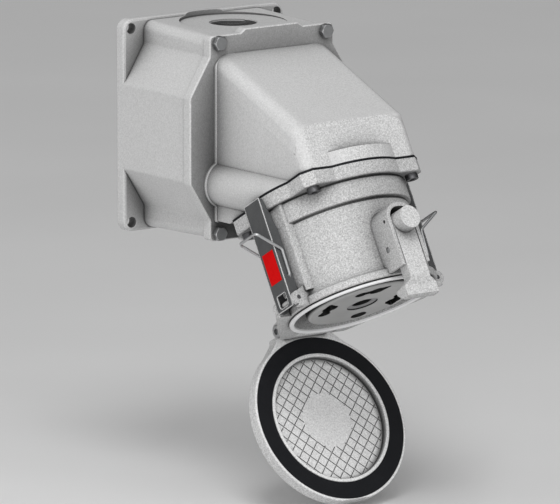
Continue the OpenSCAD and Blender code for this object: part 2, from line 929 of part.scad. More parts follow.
module terminal_screws() {
    color(steel)
    in_socket() {
        at_contacts() front_bar(wire_bore_r - cut, terminal_r + clamp_out, 0, k_clamp, clamp_r);
        front_bar(wire_bore_r - cut, terminal_r + clamp_out, 0, k_clamp, clamp_r);
    }
}

// Open ring of spring wire in a groove of the contact block
module disc_spring() {
    color(steel)
    in_socket() translate([0, 0, k_block - spring_wire_r - 1])
        rotate_extrude(angle = 310) translate([spring_ring_r, 0]) circle(r = spring_wire_r, $fn = 24);
}

// Opening for a plug contact: a round hole, a side lobe and a narrow key slot
module lobed_opening() {
    key = contact_ring + spike_out;
    translate([contact_ring, 0]) circle(r = open_r);
    rotate(lobe_turn) translate([contact_ring, 0]) circle(r = lobe_r);
    intersection() {
        difference() {
            circle(r = contact_ring + lobe_r * 0.7);
            circle(r = contact_ring - lobe_r * 0.7);
        }
        polygon([[0, 0], [2 * key, 0], 2 * key * [cos(lobe_turn), sin(lobe_turn)]]);
    }
    rotate(spike_turn) translate([key, 0]) circle(r = spike_r);
    polygon([
        [contact_ring - open_r * 0.5, -open_r * 0.8], [contact_ring + open_r * 0.9, 0],
        (key + spike_r * 0.7) * [cos(spike_turn + 2), sin(spike_turn + 2)],
        (key - spike_r * 0.7) * [cos(spike_turn - 2), sin(spike_turn - 2)]]);
}

module safety_disc() {
    color(moulding)
    in_socket() difference() {
        translate([0, 0, k_disc]) rotate_extrude($fn = 96)
            polygon(rounded([
                [disc_hole_r, 0, 0], [block_r, 0, 0], [block_r, disc_t, disc_edge],
                [retainer_r + slack, disc_t, 0], [retainer_r + slack, disc_t - retainer_flange - slack, 0],
                [disc_hole_r, disc_t - retainer_flange - slack, 0]]));
        translate([0, 0, k_disc - cut]) linear_extrude(disc_t + 2 * cut)
            for (a = lobed_at)
                rotate(a) lobed_opening();
        rotate(dimple_at) down_bar(k_disc + disc_t - dimple_depth, far, contact_ring, 0, open_r);
    }
}

module disc_retainer() {
    hub_r = disc_hole_r - fit;
    top = slack + disc_t - retainer_sunk;
    color(moulding)
    in_socket() translate([0, 0, k_block]) rotate_extrude()
        polygon([
            [centre_hole_r, 0], [hub_r, 0], [hub_r, slack + disc_t - retainer_flange],
            [retainer_r, slack + disc_t - retainer_flange], [retainer_r, top],
            [centre_hole_r + 1, top], [centre_hole_r, top - 1]]);
}

// Front view of the pawl: a bar with a round top and a broad foot
module pawl_front_view() {
    w = pawl_w / 2;
    t = foot_w / 2;
    k1 = k_foot + foot_h;
    translate([0, k_boss]) circle(d = pawl_w);
    polygon(rounded([
        [-w, k_boss, 0], [w, k_boss, 0], [w, k_foot - foot_shoulder, 3], [t, k_foot, 2],
        [t, k1, 2], [-t, k1, 2], [-t, k_foot, 2], [-w, k_foot - foot_shoulder, 3]], 4));
}

// Side view of the pawl: bar, pivot and hooked foot
module pawl_side_view() {
    k1 = k_foot + foot_h;
    translate([pawl_pin_f, k_pawl_pin]) circle(r = pawl_knuckle_r);
    polygon(rounded([
        [pawl_front, k_boss - boss_d, 0], [pawl_front, k_foot - 8, 6], [foot_front, k_foot, 4],
        [foot_front, k1 - 2, 1], [foot_front - 3, k1, 1], [nose_f + 8, k1, 2],
        [nose_f, k1 - nose_fall, 1.5], [nose_f, k_foot + nose_step, 1],
        [pawl_back, k_foot, 0], [pawl_back, k_boss - boss_d, 0]], 4));
}

module pawl() {
    color(casting)
    in_socket() difference() {
        union() {
            intersection() {
                front_prism(pawl_pin_f - 2 * pawl_knuckle_r, pawl_front + cut) pawl_front_view();
                side_prism(-foot_w, foot_w) pawl_side_view();
            }
            front_bar(pawl_back, boss_front, 0, k_boss, boss_d / 2);
        }
        cross_bar(-far, far, pawl_pin_f, k_pawl_pin, pawl_pin_r + fit);
    }
}

module pawl_pin() {
    reach = hood_out - pawl_pin_sunk;
    color(steel) in_socket() cross_bar(-reach, reach, pawl_pin_f, k_pawl_pin, pawl_pin_r);
}

// Round wire along a list of points, where up is a direction that it never takes
module wire(points, r, up, sides = 10) {
    last = len(points) - 1;
    step = [for (i = [0 : last - 1]) unit(points[i + 1] - points[i])];
    along = [for (i = [0 : last]) unit(step[max(i - 1, 0)] + step[min(i, last - 1)])];
    rings = [for (i = [0 : last], j = [0 : sides - 1])
        let (n = unit(cross(along[i], up)), b = cross(along[i], n), a = 360 * j / sides)
        points[i] + r * (cos(a) * n + sin(a) * b)];
    tube = [for (i = [0 : last - 1], j = [0 : sides - 1])
        let (next = (j + 1) % sides)
        [i * sides + j, (i + 1) * sides + j, (i + 1) * sides + next, i * sides + next]];
    caps = [[for (j = [0 : sides - 1]) j], [for (j = [sides - 1 : -1 : 0]) last * sides + j]];
    polyhedron(rings, concat(tube, caps));
}

// Compression spring between the barrel and the back of the thumb boss
module pawl_spring() {
    turns = 4.5;
    steps = 12;
    seat = barrel_r + coil_wire + slack / 2;
    rise = pawl_back - coil_wire - slack / 2 - seat;
    coil = [for (i = [0 : turns * steps])
        let (a = 360 * i / steps)
        [coil_r * cos(a), coil_r * sin(a), rise * i / (turns * steps)]];
    color(steel)
    in_socket() translate([0, seat, k_boss]) rotate([-90, 0, 0]) wire(coil, coil_wire, [0, 0, 1], 8);
}

// Side flange of a lever with its round pivot end
module lever_flange() {
    back = lever_x - lever_depth;
    difference() {
        union() {
            translate([lever_pin_x, k_lever_pin]) circle(r = lever_ear_r);
            polygon([
                [lever_x, k_lever], [lever_x - lever_tip, k_lever + lever_tip_h],
                [back, k_lever + lever_taper], [back, k_lever_pin - lever_waist],
                [lever_pin_x - lever_ear_r, k_lever_pin],
                [lever_pin_x, k_lever_end], [lever_x, k_lever_end]]);
        }
        translate([lever_pin_x, k_lever_pin]) circle(r = lever_pin_r + fit);
        translate(bail_pivot) circle(r = wire_r + fit);
    }
}

// Folded channel on the right-hand side
module lever() {
    h = lever_w / 2;
    k1 = k_lever_end - window_end;
    k0 = k1 - window_h;
    w = window_half;
    color(dark_sheet)
    in_socket() {
        difference() {
            side_prism(lever_x - sheet, lever_x)
                polygon(rounded([
                    [-h, k_lever, 1], [h, k_lever, 1],
                    [h, k_lever_end, 2], [-h, k_lever_end, 2]], 3));
            side_prism(lever_x - 2 * sheet, lever_x + sheet)
                polygon(rounded([[-w, k0, 1], [w, k0, 1], [w, k1, 3], [-w, k1, 3]], 4));
        }
        for (f = [-h, h - sheet])
            front_prism(f, f + sheet) intersection() {
                lever_flange();
                translate([0, -far / 2]) square([lever_x, far]);
            }
    }
}

module lever_right() {
    lever();
}

module lever_left() {
    mirror([1, 0, 0]) lever();
}

module lever_pins() {
    reach = fork_in + fork_t;
    color(steel)
    in_socket() both_sides() front_bar(-reach, reach, lever_pin_x, k_lever_pin, lever_pin_r);
}

module label() {
    color(red_film)
    in_socket() translate([lever_x, -label_w / 2, k_label]) cube([label_t, label_w, label_h]);
}

module label_right() {
    label();
}

module label_left() {
    mirror([1, 0, 0]) label();
}

// Round bend of radius r at c, on the way from p to q
function bend(p, c, q, r, n = 5) =
    let (u = unit(p - c), w = unit(q - c), half = acos(u * w) / 2)
    let (o = c + unit(u + w) * r / sin(half))
    let (e = unit(c + u * r / tan(half) - o))
    [for (i = [0 : n]) let (a = (180 - 2 * half) * i / n) o + r * (cos(a) * e - sin(a) * u)];

// Points of a route with a bend of its own radius at each corner
function route(pts, radii) =
    let (last = len(pts) - 1)
    [pts[0], for (i = [1 : last - 1]) each bend(pts[i - 1], pts[i], pts[i + 1], radii[i]), pts[last]];

// Wire loop on the right-hand lever: pivot ends, two bent legs and a crossbar
module bail(swing) {
    inner = lever_w / 2 - sheet - bail_end;
    outer = lever_w / 2 - fit;
    at = [bail_pivot, bail_pivot, bail_knee, bail_top];
    half = [inner + bail_end / 2, bail_f, bail_f, bail_f];
    radii = [0, wire_r + 2 * fit, bail_bend, bail_bend];
    there = [for (i = [0 : 3]) [at[i][0], -half[i], at[i][1]]];
    back = [for (i = [3 : -1 : 0]) [at[i][0], half[i], at[i][1]]];
    bends = concat(radii, [for (i = [3 : -1 : 0]) radii[i]]);
    color(steel)
    in_socket() translate(there[0]) rotate([0, -swing, 0]) translate(-there[0]) {
        wire(route(concat(there, back), bends), wire_r - fit / 2, [1, 0, 1]);
        for (f = [-outer, inner])
            front_bar(f, f + outer - inner, bail_pivot[0], bail_pivot[1], wire_r);
    }
}

module bail_right() {
    bail(bail_swing);
}

module bail_left() {
    mirror([1, 0, 0]) bail(0);
}

// Swings the closed lid open about its hinge
module swung() {
    in_socket() translate([0, -hinge_p, k_hinge]) rotate([lid_open, 0, 0])
        translate([0, hinge_p, -k_hinge]) children();
}

module lid_section() {
    ring = lid_seal_r0 - inner_ring;
    polygon(rounded([
        [0, lid_recess, 0], [ring, lid_recess, 0], [ring, -inner_ring_h, 0.8],
        [lid_seal_r0, -inner_ring_h, 0.8], [lid_seal_r0, seal_depth, 0], [lid_seal_r1, seal_depth, 0],
        [lid_seal_r1, 0, 0.6], [lid_r, 0, 1], [lid_r, lid_t, lid_edge_r], [0, lid_t, 0]], 4));
}

// Crossed grooves around the plain middle of the lid
module crossed_grooves() {
    edge = lid_seal_r0 - inner_ring - 1;
    lines = floor(edge / groove_pitch);
    intersection() {
        difference() {
            circle(r = edge);
            circle(r = plain_r);
        }
        for (a = [45, 135], i = [-lines : lines])
            rotate(a) translate([-edge, i * groove_pitch - groove_w / 2]) square([2 * edge, groove_w]);
    }
}

// Plan of the neck that joins the lid to its hinge knuckle
module lid_neck() {
    x = neck_half + neck_waist;
    flare = x + neck_flare;
    r = neck_corner_r;
    polygon(rounded([
        [-flare, -neck_root, 0], [-x, -neck_bend, neck_bend_r], [-neck_half, -neck_tip, r],
        [neck_half, -neck_tip, r], [x, -neck_bend, neck_bend_r], [flare, -neck_root, 0]]));
}

module lid() {
    web = ear_in - slack;
    color(casting)
    swung() difference() {
        union() {
            translate([0, 0, k_lid]) rotate_extrude($fn = 128) lid_section();
            translate([0, 0, k_lid]) linear_extrude(lid_t) difference() {
                lid_neck();
                circle(r = web_f);
            }
            cross_bar(-web, web, -hinge_p, k_hinge, knuckle_r);
            side_prism(-web, web) polygon([
                [-hinge_p - knuckle_r, k_hinge], [-web_f, k_hinge], [-web_f, k_lid + lid_t - 1],
                [-hinge_p, k_lid + lid_t - 1], [-hinge_p - knuckle_r, k_lid + lid_t - knuckle_fall]]);
        }
        translate([0, 0, k_lid + lid_recess - cut]) linear_extrude(groove_depth + cut) crossed_grooves();
        translate([-far / 2, lid_flat, k_lid - far / 2]) cube(far);
        cross_bar(-far, far, -hinge_p, k_hinge, hinge_r + fit);
    }
}

module lid_gasket() {
    r0 = lid_seal_r0 + fit;
    r1 = lid_seal_r1 - fit;
    color(black_rubber)
    swung() translate([0, 0, k_lid]) rotate_extrude($fn = 128)
        polygon([[r0, 0], [r1, 0], [r1, seal_depth], [r0, seal_depth]]);
}

module hinge_bolt() {
    color(steel)
    in_socket() difference() {
        union() {
            cross_bar(-ear_out, hinge_head - ear_out, -hinge_p, k_hinge, hinge_head_r);
            cross_bar(-ear_out, ear_out + hinge_nut_h + slack, -hinge_p, k_hinge, hinge_r);
        }
        translate([-ear_out - cut, -hinge_p, k_hinge]) rotate([0, 90, 0])
            hexagon(socket_af, cut + socket_depth);
    }
}

module hinge_nut() {
    color(steel)
    in_socket() translate([ear_out, -hinge_p, k_hinge]) rotate([0, 90, 0]) difference() {
        hex_head(hinge_nut_h);
        translate([0, 0, -cut]) cylinder(r = hinge_r + fit, h = hinge_nut_h + 2 * cut);
    }
}

wall_box();
earth_stud();
box_gasket();
angle_cover();
cover_bolts();
flange_gasket();
socket_shell();
flange_screws();
contact_block();
block_ring();
block_screws();
main_contacts();
earth_contact();
terminal_screws();
disc_spring();
safety_disc();
disc_retainer();
pawl();
pawl_pin();
pawl_spring();
lever_left();
lever_right();
lever_pins();
label_left();
label_right();
bail_left();
bail_right();
lid();
lid_gasket();
hinge_bolt();
hinge_nut();
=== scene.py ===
"""Looks of the industrial wall socket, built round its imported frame.

Metres, +Z up, the wall at Y = 0. Pieces on the socket are drawn in its own axes: x across it,
f to its front, and down along its axis.
"""
import json
import math

import bmesh
import bpy
from mathutils import Matrix, Vector

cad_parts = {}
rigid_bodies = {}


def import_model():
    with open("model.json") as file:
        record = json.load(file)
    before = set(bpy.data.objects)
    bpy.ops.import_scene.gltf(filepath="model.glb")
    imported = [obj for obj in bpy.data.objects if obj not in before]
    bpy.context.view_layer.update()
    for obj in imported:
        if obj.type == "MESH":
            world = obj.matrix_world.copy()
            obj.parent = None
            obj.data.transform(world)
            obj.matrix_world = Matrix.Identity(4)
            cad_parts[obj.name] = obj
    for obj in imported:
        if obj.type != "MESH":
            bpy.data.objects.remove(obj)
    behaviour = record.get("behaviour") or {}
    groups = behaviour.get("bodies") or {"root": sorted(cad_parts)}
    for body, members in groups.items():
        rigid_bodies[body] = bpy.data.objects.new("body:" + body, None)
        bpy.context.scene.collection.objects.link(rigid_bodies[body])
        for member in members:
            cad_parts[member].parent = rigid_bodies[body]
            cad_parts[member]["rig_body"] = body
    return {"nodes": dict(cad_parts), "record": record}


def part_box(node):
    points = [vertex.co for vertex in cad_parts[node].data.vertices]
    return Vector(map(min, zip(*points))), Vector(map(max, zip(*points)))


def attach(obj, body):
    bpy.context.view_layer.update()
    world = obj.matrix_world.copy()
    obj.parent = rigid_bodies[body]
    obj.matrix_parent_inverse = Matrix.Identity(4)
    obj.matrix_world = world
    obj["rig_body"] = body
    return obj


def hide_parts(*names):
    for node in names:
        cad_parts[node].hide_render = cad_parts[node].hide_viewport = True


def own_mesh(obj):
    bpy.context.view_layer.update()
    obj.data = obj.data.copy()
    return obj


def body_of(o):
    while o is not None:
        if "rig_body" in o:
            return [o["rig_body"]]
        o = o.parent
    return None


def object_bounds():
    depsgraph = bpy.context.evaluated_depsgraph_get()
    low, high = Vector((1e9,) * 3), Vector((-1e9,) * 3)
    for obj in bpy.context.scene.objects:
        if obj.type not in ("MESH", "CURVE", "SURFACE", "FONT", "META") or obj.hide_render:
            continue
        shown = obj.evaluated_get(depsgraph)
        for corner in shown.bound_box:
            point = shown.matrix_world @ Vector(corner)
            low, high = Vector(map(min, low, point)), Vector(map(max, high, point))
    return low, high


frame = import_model()
cad_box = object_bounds()
nodes = frame["nodes"]
scene = bpy.context.scene
MM = 0.001

# View of the photograph: a long lens, almost without perspective
PHOTO_W = 560
METRES_PER_PIXEL = 1.0 * MM
VIEW_AZIMUTH = math.radians(-37.04)
VIEW_ELEVATION = math.radians(10.51)
VIEW_TARGET = Vector((0.0, -138.78, -120.25)) * MM
VIEW_DISTANCE = 8.0
VIEW_CLIP = (0.1, 200)
SENSOR = 36.0

# Floor: its place and size, and its two faintly different greys
FLOOR_DROP = 4 * MM
FLOOR_SIZE = 40.0
FLOOR_CLOUD = 0.4
FLOOR_TONES = (0.80, 0.83)
FLOOR_ROUGH = 0.9

# Light: a dome round the upper front and left, a soft lamp from above and one from the front left
DOME_FRONT = (-0.68, -0.50, 0.54)
DOME_FADE = ((0.0, 0.12), (0.55, 1.0))
DOME_STRENGTH = 0.72
KEY = {"direction": (-0.34, -0.44, 0.83), "distance": 2.4, "size": 0.9, "power": 22}
FILL = {"direction": (-0.66, -0.74, 0.12), "distance": 2.6, "size": 0.8, "power": 13}

# Socket: a point on its axis, the way down and out of its mouth, and the way to its front
SOCKET_POINT = (0.0, -0.212, -0.046)
SOCKET_WAY = (0.0, -0.5, -0.8660254)
SOCKET_FRONT = (0.0, -0.8660254, 0.5)
WALL_OUT = (0, -1, 0)

# Coat of the castings: sizes, greys from 0 to 255, and shares of its grain, specks and clouds
COAT_GRAIN = 1.5 * MM
COAT_ROUGH = (0.60, 0.46)
COAT_BUMP = {"strength": 0.35, "depth": 0.25 * MM, "edge": 0.9 * MM}
SPECK_SIZE = 0.9 * MM
SPECK_TONE = 242
SPECK_SPAN = (0.60, 0.74)
CLOUD_SIZE = 60 * MM
CLOUD_TONE = (176, 176, 175)
CLOUD_SHARE = 0.10
CLOUD_SPAN = (0.35, 0.75)

# Edges of the coat, worn and with a painted highlight, painted shade in its corners, creases, tray
# walls and plate, and the socket's lip, which is turned bare
WORN_HIGHLIGHT_EDGE = 0.9 * MM
WORN_HIGHLIGHT_TONE = 230
WORN_HIGHLIGHT_SHARE = 0.35
CORNER_SHADE_DARK = 0.12
CREASE_REACH = 2 * MM
TRAY_REACH = 15 * MM
TRAY_SHADE_DARK = 0.06
TRAY_START = 0.60
PLATE_SHADE = 0.66
LIP_START = 121.6 * MM
LIP_BLEND = 0.3 * MM
LIP_TONE = (240, 240, 241)
LIP_ROUGH = (0.3, 0.3, 0.3, 1)

# Spans over which masks run: of a noise, of the light that reaches a corner, and of the cosine
# between a face and a way
NOISE_SPAN = (0.3, 0.7)
CORNER_START, CORNER_END = 0.42, 0.97
EDGE_SPAN = (0.80, 0.99)
OUTWARD_SPAN = (0.25, 0.55)
# Faces picked for painted light (to the front) or painted shade (sides, tray walls, plate, bores)
FRONT_FACES = (0.90, 0.99)
SHADED_SIDE_FACES = (0.60, 0.90)
TRAY_WALLS = (0.50, 0.90)
PLATE_FACES = (0.97, 0.995)
BORE_WALLS = (0.35, 0.75)
BORE_SHADE_DARK = 0.02
BEVEL_RAYS = 6
CORNER_RAYS = 8

# Dark sheet's folds, rubbed and with a painted highlight, and steel's stains as a share of its tone
FOLD_RUB_HIGHLIGHT_EDGE = 2.4 * MM
FOLD_RUB_HIGHLIGHT_TONE = 250
STEEL_STAIN = 0.72

# New pieces: the turn between faces that is still smooth, and the steps of an arc or a loop
SMOOTH = math.radians(35)
ARC_STEPS = 12
LOOP_STEPS = 512
LEVEL_REACH = 0.4
LEVEL_HALVINGS = 40

# Snout of the cover, as in the part's source, and the edge radius that the photograph shows
SNOUT_X = 70 * MM
SNOUT_TOP = 84 * MM
SNOUT_HEEL = -82.5 * MM
HEEL_R = 1 * MM
PLATE_FRONT = 125.5 * MM
SLOPE = math.radians(23)
SOLID_EDGE_R = 24 * MM
EDGE_R = 13 * MM
NOSE_F = 73 * MM
NOSE_R = 13 * MM
POD_X = 60 * MM
POD_R = 23 * MM

# How the snout's new edge sits on the solid: flush before the solid's round, sunk where it runs
# on past it, buried under it, rooted in the plate, and short of the nose where it is hidden
EDGE_FLUSH = 2 * MM
EDGE_LAP = 1 * MM
EDGE_SINK = 0.05 * MM
EDGE_BURIED = 0.5 * MM
EDGE_ROOT = 1 * MM
EDGE_SHORT = 0.25 * MM
EDGE_SMOOTH = math.radians(15)

# Step round the snout's base, which runs out at its top
STEP_OUT = 1.9 * MM
STEP_H = 3.2 * MM
STEP_R = 1.5 * MM
STEP_ROOT = 1.5 * MM
STEP_SINK = 0.3 * MM
STEP_FADE = (72 * MM, 83 * MM)
STEP_ARC_STEPS = 4

# Edge of the flange gasket, squeezed out between the castings
FLANGE_X = 73 * MM
FLANGE_CUT = 10 * MM
FLANGE_R = 83 * MM
GASKET_T = 2 * MM
GASKET_IN = 2 * MM
GASKET_OUT = 0.2 * MM
GASKET_ROUND = 0.3 * GASKET_OUT

# Knuckle of the casting round each lever's pin: places across and down the socket
PIN_X = 86.5 * MM
PIN_DOWN = 112 * MM
KNUCKLE_R = 3.9 * MM
KNUCKLE_ARC = (-115, 105)
KNUCKLE_HALF = 6.5 * MM
KNUCKLE_ROOT = ((77 * MM, 112.5 * MM), (77 * MM, 103 * MM))

# Hinge screw: how far its head stands out of the ear, its hexagon and its rounds
HEAD_OUT = 2 * MM
HEAD_SEAT = 5 * MM
HEX_AF = 6 * MM
HEX_DEPTH = 4 * MM
HEX_WEDGE = math.tau / 6
SHANK_R = 4 * MM
SCREW_CHAMFER = 0.8 * MM
SCREW_STEPS = 48

# Spring behind the pawl's boss: places to the front and down the socket, and the closed turns at
# each end
COIL_R = 5 * MM
COIL_WIRE_R = 0.9 * MM
COIL_FOOT = 74.65 * MM
COIL_HEAD = 89.85 * MM
COIL_DOWN = 75.4 * MM
COIL_TURNS = 5.5
COIL_CLOSED = 0.75
COIL_STEPS = 24
COIL_SIDES = 8
COIL_SMOOTH = math.radians(60)

# Thread of the cable entry
THREAD_PITCH = 1.5 * MM
THREAD_DEPTH = 0.75 * MM
THREAD_STEPS = 72
THREAD_SEAT = 0.1 * MM

# Materials that come in several kinds, by name
# The kinds share one coat; the shell's darker greys and the lid's lighter front greys are painted
# shade and light
CASTINGS = {
    "casting": {"tones": (188, 210), "specks": 0.3},
    "plate_casting": {"tones": (188, 210), "specks": 0.3, "front": (172, 230), "plate": True},
    "coarse_casting": {"tones": (172, 232), "specks": 0.7, "reach": 20 * MM, "crease": 0.4,
                       "own": True, "side": 0.74},
    "lid_casting": {"tones": (168, 226), "specks": 0.7, "reach": 6 * MM, "crease": 0.9,
                    "own": True, "front": (206, 252), "hollow": True},
    "shell_casting": {"tones": (150, 212), "specks": 0.7, "own": True, "turned_lip": True},
}
STEELS = {
    "steel": {"tone": (176, 177, 178), "rough": (0.28, 0.46)},
    "wire": {"tone": (190, 191, 192), "rough": (0.34, 0.52), "grain": 0.8 * MM,
             "stretch": (1, 1, 0.3)},
    "dark_bolt": {"tone": (104, 104, 106), "rough": (0.37, 0.55)},
}
MOULDINGS = {
    "moulding": {"low": (158, 158, 158), "high": (172, 172, 171), "rough": (0.36, 0.46)},
    "dark_moulding": {"low": (132, 132, 133), "high": (148, 148, 149), "rough": (0.5, 0.6),
                      "gloss": 0.3},
    "black_moulding": {"low": (12, 12, 13), "high": (20, 20, 21), "rough": (0.8, 0.9),
                       "gloss": 0.1},
}

# Nodes whose finish is another than their slot in the record
OTHER_FINISH = {
    "angle_cover": "plate_casting", "pawl": "coarse_casting", "lid": "lid_casting",
    "socket_shell": "shell_casting", "bail_left": "wire", "bail_right": "wire",
    "lever_pins": "dark_bolt", "flange_screws": "dark_bolt", "disc_retainer": "dark_moulding",
    # The contact block and its ring are near black: painted shade for the dark inside of the safety
    # disc's openings
    "contact_block": "black_moulding", "block_ring": "black_moulding",
}


def linear(*srgb):
    """Colour from 0 to 255 values, as a shader takes it."""
    return tuple((c / 255 / 12.92) if c <= 10 else ((c / 255 + 0.055) / 1.055) ** 2.4
                 for c in srgb) + (1.0,)


def grey(tone):
    return linear(tone, tone, tone)


class Nodes:
    """Short way to write a material's node tree."""

    def __init__(self, name):
        self.material = bpy.data.materials.new(name)
        self.material.use_nodes = True
        self.tree = self.material.node_tree
        self.shader = self.tree.nodes["Principled BSDF"]
        self.place = self.add("ShaderNodeTexCoord").outputs["Object"]

    def feed(self, socket, value):
        """Link a socket to an output, or set it to a plain value."""
        if isinstance(value, bpy.types.NodeSocket):
            self.tree.links.new(value, socket)
        else:
            socket.default_value = value

    def add(self, kind, inputs=None, **settings):
        """New node with its settings, then its inputs by name or number."""
        node = self.tree.nodes.new(kind)
        for key, value in settings.items():
            setattr(node, key, value)
        for key, value in (inputs or {}).items():
            self.feed(node.inputs[key], value)
        return node

    def set(self, **values):
        """Feed the shader's own sockets."""
        for key, value in values.items():
            self.feed(self.shader.inputs[key.replace("_", " ")], value)

    def noise(self, size, detail=2.0, rough=0.5, stretch=(1, 1, 1)):
        """Noise whose grain is about size metres."""
        mapping = self.add("ShaderNodeMapping", {"Scale": stretch, "Vector": self.place})
        texture = self.add("ShaderNodeTexNoise", {
            "Scale": 1 / size, "Detail": detail, "Roughness": rough,
            "Vector": mapping.outputs["Vector"]})
        return texture.outputs["Fac"]

    def ramp(self, source, low, high, span=NOISE_SPAN):
        """Grey or colour that runs from low to high as a source runs over a span."""
        node = self.add("ShaderNodeValToRGB", {"Fac": source})
        for element, position, tone in zip(node.color_ramp.elements, span, (low, high)):
            element.position = position
            element.color = tone if isinstance(tone, tuple) else (tone, tone, tone, 1)
        return node.outputs["Color"]

    def mix(self, share, a, b, blend="MIX"):
        node = self.add("ShaderNodeMix", {"Factor": share, "A": a, "B": b},
                        data_type="RGBA", blend_type=blend)
        return node.outputs["Result"]

    def shade(self, base, dark, share=1.0):
        """A colour darkened by a grey."""
        return self.mix(share, base, dark, "MULTIPLY")

    def patches(self, base, tone, noise, share, span):
        """A colour with patches of a tone where a noise is high."""
        return self.mix(self.ramp(noise, 0.0, share, span), base, tone)

    def math(self, operation, a, b=0.0):
        return self.add("ShaderNodeMath", {0: a, 1: b}, operation=operation).outputs["Value"]

    def dot(self, a, b):
        node = self.add("ShaderNodeVectorMath", {0: a, 1: b}, operation="DOT_PRODUCT")
        return node.outputs["Value"]

    def bevel(self, radius):
        """Normal that turns round edges with a radius."""
        node = self.add("ShaderNodeBevel", {"Radius": radius}, samples=BEVEL_RAYS)
        return node.outputs["Normal"]

    def bump(self, height, strength, depth, edge=None):
        """Bumpy normal, with edges rounded to a radius."""
        inputs = {"Strength": strength, "Distance": depth, "Height": height}
        if edge:
            inputs["Normal"] = self.bevel(edge)
        return self.add("ShaderNodeBump", inputs).outputs["Normal"]

    def local(self, normal):
        """A normal in the part's own space, which moves with it."""
        node = self.add("ShaderNodeVectorTransform", {"Vector": normal}, vector_type="NORMAL",
                        convert_from="WORLD", convert_to="OBJECT")
        return node.outputs["Vector"]

    def edge(self, radius):
        """About 1 along edges, 0 on open faces."""
        plain = self.add("ShaderNodeNewGeometry").outputs["Normal"]
        return self.ramp(self.dot(self.bevel(radius), plain), 1.0, 0.0, EDGE_SPAN)

    def outward(self, radius):
        """About 1 on edges that face away from the middle plane X = 0, 0 on those that face it."""
        turn = self.add("ShaderNodeSeparateXYZ", {0: self.local(self.bevel(radius))})
        side = self.add("ShaderNodeSeparateXYZ", {0: self.place})
        away = self.math("MULTIPLY", turn.outputs["X"], self.math("SIGN", side.outputs["X"]))
        return self.ramp(away, 0.0, 1.0, OUTWARD_SPAN)

    def along(self, point, way, start, blend):
        """0 before start metres from a point along a way, 1 after it."""
        offset = self.add("ShaderNodeVectorMath", {0: self.place, 1: point}, operation="SUBTRACT")
        past = self.math("SUBTRACT", self.dot(offset.outputs["Vector"], way), start)
        return self.ramp(self.math("DIVIDE", past, blend), 0.0, 1.0, (0.0, 1.0))

    def corner(self, reach, dark, own=False, start=CORNER_START):
        """Painted shade: grey that falls to dark in corners and hollows, or only in the piece's
        own.
        """
        node = self.add("ShaderNodeAmbientOcclusion", {"Distance": reach},
                        samples=CORNER_RAYS, only_local=own)
        return self.ramp(node.outputs["AO"], dark, 1.0, (start, CORNER_END))

    def facing(self, way, low, high, span):
        """Grey that runs from low to high as faces turn to look along a way."""
        plain = self.add("ShaderNodeNewGeometry").outputs["True Normal"]
        return self.ramp(self.dot(self.local(plain), way), low, high, span)


def casting_material(name, tones, specks, reach=70 * MM, crease=0.10, own=False, front=None,
                     side=None, hollow=False, plate=False, turned_lip=False):
    """Light grey epoxy coat on cast metal: sandy grain, bright specks, faint clouds, worn edges
    with a painted highlight, and painted shade.

    tones are the greys of the grain and specks is the share of bright ones. Painted shade darkens
    corners within reach, of all pieces or only of its own, and creases down to a share. front gives
    the greys of faces to the socket's front where they differ, lighter ones being painted light,
    and side a share of painted shade for other faces. hollow paints shade on the walls of a tray,
    plate on the faces straight out from the wall, and turned_lip leaves the socket's lip bare.
    """
    n = Nodes(name)
    grain = n.noise(COAT_GRAIN, rough=0.6)
    rough = n.ramp(grain, *COAT_ROUGH)
    base = n.ramp(grain, *map(grey, tones))
    # Other greys for faces to the socket's front; lighter ones there are painted light
    if front:
        faces = n.facing(SOCKET_FRONT, 0.0, 1.0, FRONT_FACES)
        base = n.mix(faces, base, n.ramp(grain, *map(grey, front)))
    speck, cloud = n.noise(SPECK_SIZE, detail=1.0), n.noise(CLOUD_SIZE)
    base = n.patches(base, grey(SPECK_TONE), speck, specks, SPECK_SPAN)
    base = n.patches(base, linear(*CLOUD_TONE), cloud, CLOUD_SHARE, CLOUD_SPAN)
    # Edges lightened: partly wear, partly a painted highlight where rounded edges catch light
    worn_highlight = n.math("MULTIPLY", n.edge(WORN_HIGHLIGHT_EDGE), WORN_HIGHLIGHT_SHARE)
    base = n.mix(worn_highlight, base, grey(WORN_HIGHLIGHT_TONE))
    # Painted shade in corners and creases, from ambient occlusion
    base = n.shade(base, n.corner(reach, CORNER_SHADE_DARK, own))
    base = n.shade(base, n.corner(CREASE_REACH, crease, own=True))
    # Painted shade on faces that do not look to the socket's front
    if side:
        base = n.shade(base, n.facing(SOCKET_FRONT, side, 1.0, SHADED_SIDE_FACES))
    # Painted shade on the walls of a tray
    if hollow:
        shaded_walls = n.facing(SOCKET_FRONT, 1.0, 0.0, TRAY_WALLS)
        dark = n.corner(TRAY_REACH, TRAY_SHADE_DARK, own=True, start=TRAY_START)
        base = n.shade(base, dark, shaded_walls)
    # Painted shade on faces that look straight out from the wall
    if plate:
        base = n.shade(base, n.facing(WALL_OUT, 1.0, PLATE_SHADE, PLATE_FACES))
    if turned_lip:
        bare = n.along(SOCKET_POINT, SOCKET_WAY, LIP_START, LIP_BLEND)
        base = n.mix(bare, base, linear(*LIP_TONE))
        rough = n.mix(bare, rough, LIP_ROUGH)
    n.set(Base_Color=base, Roughness=rough, Normal=n.bump(grain, **COAT_BUMP),
          Specular_IOR_Level=0.4)
    return n.material


